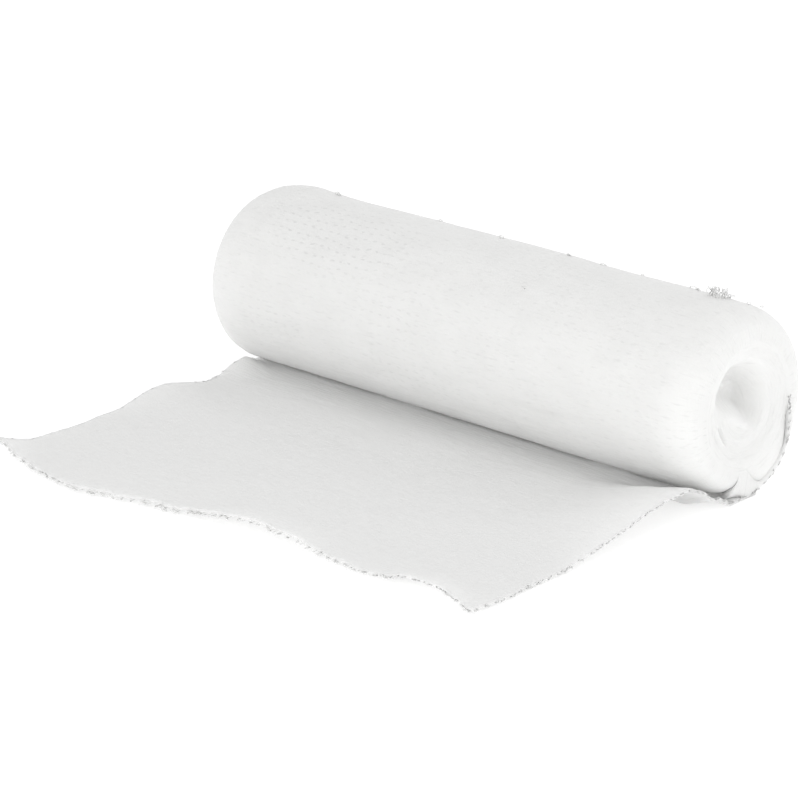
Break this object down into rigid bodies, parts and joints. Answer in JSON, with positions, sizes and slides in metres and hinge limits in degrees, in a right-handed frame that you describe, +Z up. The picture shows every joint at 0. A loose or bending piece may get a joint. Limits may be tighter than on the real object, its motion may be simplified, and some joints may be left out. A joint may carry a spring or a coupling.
{
  "type": "elastic bandage roll",
  "caption": "White crepe elastic bandage wound into a roll, lying on its side with its loose end laid out flat in front.",
  "frame": {"origin": "middle of the flat spot under the roll, on the floor", "axes": "+X along the roll's axis, +Y away from the loose end, +Z up from the floor"},
  "size_m": [0.1028, 0.0816, 0.0307],
  "materials": {
    "crepe_cloth": "white, matt and slightly fuzzy crepe weave of cotton and synthetic yarn"
  },
  "bodies": {
    "root": {"wound_roll": "crepe_cloth", "loose_end": "crepe_cloth"}
  },
  "joints": []
}
